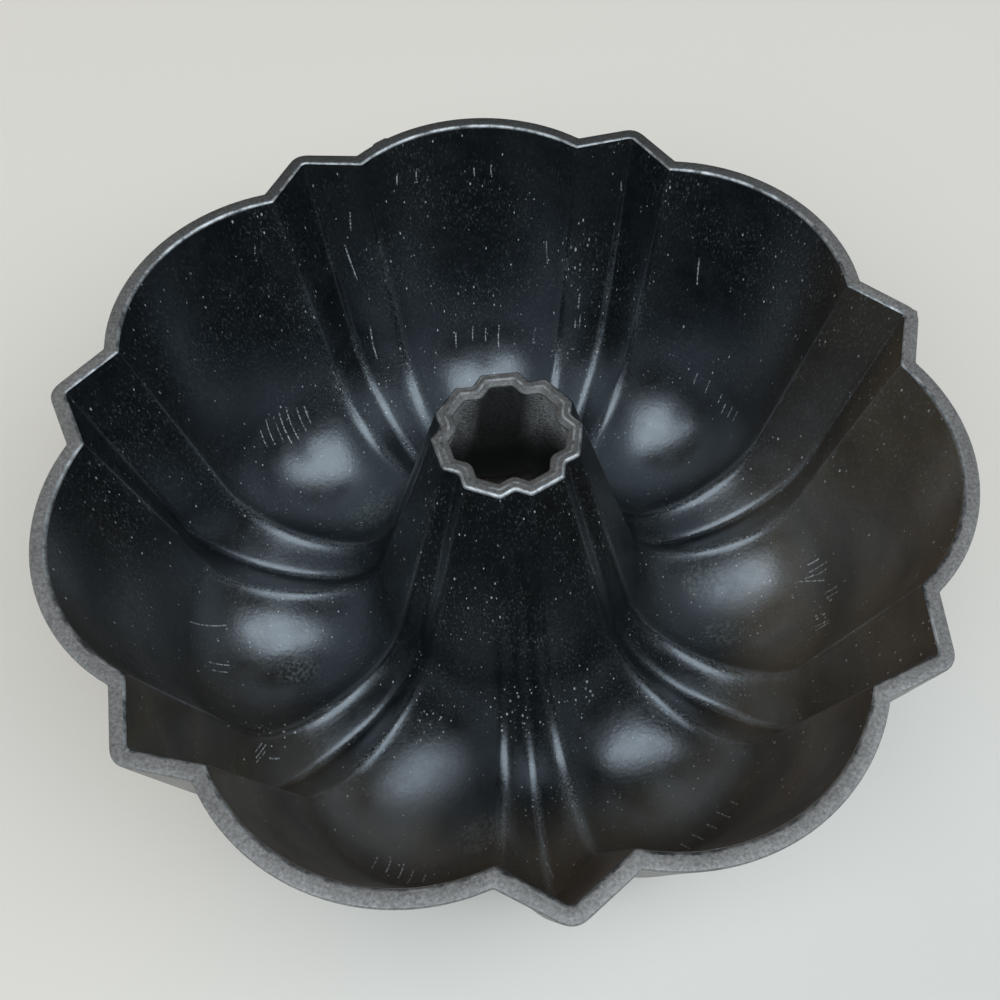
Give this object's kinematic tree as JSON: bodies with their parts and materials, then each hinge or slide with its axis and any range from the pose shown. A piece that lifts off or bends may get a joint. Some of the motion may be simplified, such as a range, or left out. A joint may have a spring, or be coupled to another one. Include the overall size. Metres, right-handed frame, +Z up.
{
  "type": "fluted tube pan",
  "caption": "Small cast fluted tube pan for ring cakes: round lobes between pointed flutes, a hollow fluted centre tube, a flat scalloped rim, small ground feet and a black non-stick lining.",
  "frame": {"origin": "centre of the object's box at its lowest level, where the feet stand and the centre tube's axis meets the table", "axes": "+Z up along the centre tube's axis, out of the open side; -Y towards one of the pointed flutes, the one nearest the viewer; +Y towards the middle of a round lobe"},
  "size_m": [0.2084, 0.2119, 0.0891],
  "materials": {
    "cast_aluminium": "as-cast metal under a thin rough sprayed grey coat, worn bright along its inner edges",
    "nonstick_coating": "satin black baked-on non-stick coating with fine scratches"
  },
  "bodies": {
    "root": {"pan_casting": "cast_aluminium", "nonstick_lining": "nonstick_coating"}
  },
  "joints": []
}
